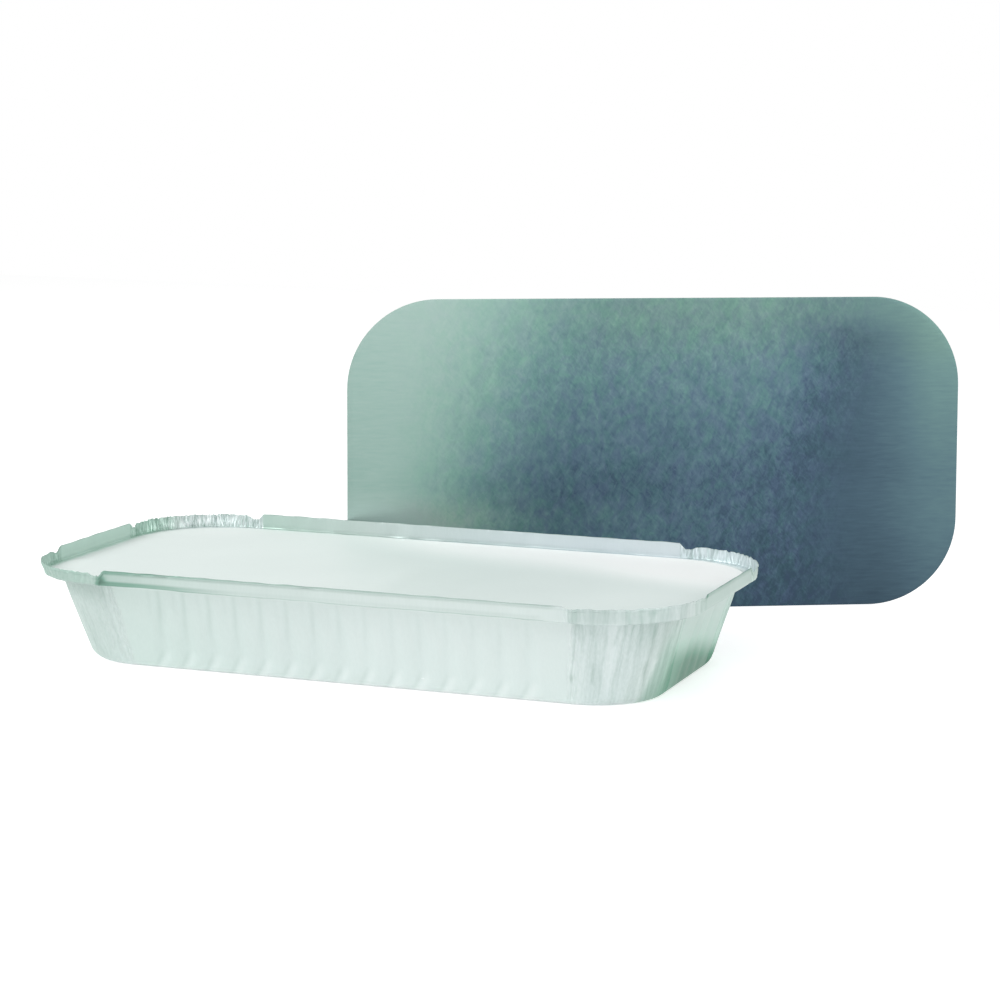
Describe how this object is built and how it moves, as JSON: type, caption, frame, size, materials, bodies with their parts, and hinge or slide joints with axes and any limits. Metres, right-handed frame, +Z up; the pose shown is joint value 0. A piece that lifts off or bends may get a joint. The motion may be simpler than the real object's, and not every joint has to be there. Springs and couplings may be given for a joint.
{
  "type": "foil food container",
  "caption": "Shallow rectangular drawn foil tray with ribbed walls and an upright closing flange, its board lid laid in place and a second lid stood behind.",
  "frame": {"origin": "centre of the tray's base, on the surface it stands on", "axes": "+X along the tray's length, +Y across it towards the second lid, +Z up"},
  "size_m": [0.3743, 0.3103, 0.1586],
  "materials": {
    "foil": "bright satin rolled foil",
    "board_face": "smooth coated white board, foil on the other face",
    "foil_face": "mottled brushed foil on board, white on the other face"
  },
  "bodies": {
    "root": {"tray": "foil", "lid": "board_face", "spare_lid": "foil_face"}
  },
  "joints": []
}
